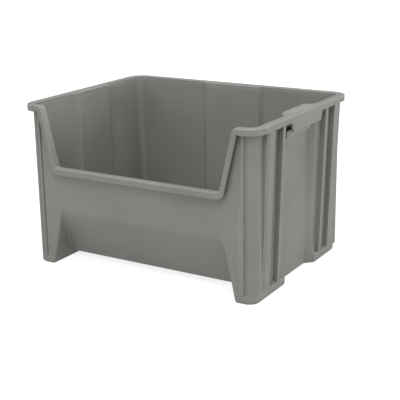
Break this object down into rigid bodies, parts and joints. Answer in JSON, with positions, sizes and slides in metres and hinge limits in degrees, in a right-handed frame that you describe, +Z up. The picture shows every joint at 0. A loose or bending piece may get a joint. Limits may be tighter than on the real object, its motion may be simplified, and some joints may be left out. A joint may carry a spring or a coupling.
{
  "type": "stackable storage bin",
  "caption": "Stackable hopper-front storage bin of grey moulded plastic, with ribbed sides, corner feet, moulded side grips and a cut-down front for picking parts",
  "frame": {"origin": "centre of the footprint on the ground, under the middle of the rim's outline", "axes": "+X to the bin's right seen from its front, +Y to the back wall (the hopper front faces -Y), +Z up"},
  "size_m": [0.5048, 0.3874, 0.3159],
  "materials": {
    "wall_plastic": "matte mid-grey polypropylene with a fine moulded texture",
    "rim_plastic": "matte mid-grey polypropylene, smoothed by handling",
    "base_plastic": "matte mid-grey polypropylene, scuffed underneath"
  },
  "bodies": {
    "root": {"back_wall_left": "wall_plastic", "back_wall_mid": "wall_plastic", "back_wall_right": "wall_plastic", "corner_post_front_left": "wall_plastic", "corner_post_front_right": "wall_plastic", "corner_post_rear_left": "wall_plastic", "corner_post_rear_right": "wall_plastic", "floor_pan": "base_plastic", "foot_front_left": "base_plastic", "foot_front_right": "base_plastic", "foot_rear_left": "base_plastic", "foot_rear_right": "base_plastic", "front_bead_left": "wall_plastic", "front_bead_right": "wall_plastic", "front_wall": "wall_plastic", "grip_ledge_left": "rim_plastic", "grip_ledge_right": "rim_plastic", "grip_left": "rim_plastic", "grip_right": "rim_plastic", "hopper_flange_left": "rim_plastic", "hopper_flange_right": "rim_plastic", "hopper_sill": "rim_plastic", "kick_panel": "wall_plastic", "leg_side_left": "wall_plastic", "leg_side_right": "wall_plastic", "rim_back": "rim_plastic", "rim_corner_front_left": "rim_plastic", "rim_corner_front_right": "rim_plastic", "rim_corner_rear_left": "rim_plastic", "rim_corner_rear_right": "rim_plastic", "rim_side_front_left": "rim_plastic", "rim_side_front_right": "rim_plastic", "rim_side_rear_left": "rim_plastic", "rim_side_rear_right": "rim_plastic", "side_land_front_left": "wall_plastic", "side_land_front_right": "wall_plastic", "side_land_rear_left": "wall_plastic", "side_land_rear_right": "wall_plastic", "side_rib_front_left": "wall_plastic", "side_rib_front_right": "wall_plastic", "side_rib_rear_left": "wall_plastic", "side_rib_rear_right": "wall_plastic", "side_wall_front_left": "wall_plastic", "side_wall_front_right": "wall_plastic", "side_wall_mid_left": "wall_plastic", "side_wall_mid_right": "wall_plastic", "side_wall_rear_left": "wall_plastic", "side_wall_rear_right": "wall_plastic", "stacking_pad_left": "rim_plastic", "stacking_pad_right": "rim_plastic"}
  },
  "joints": []
}
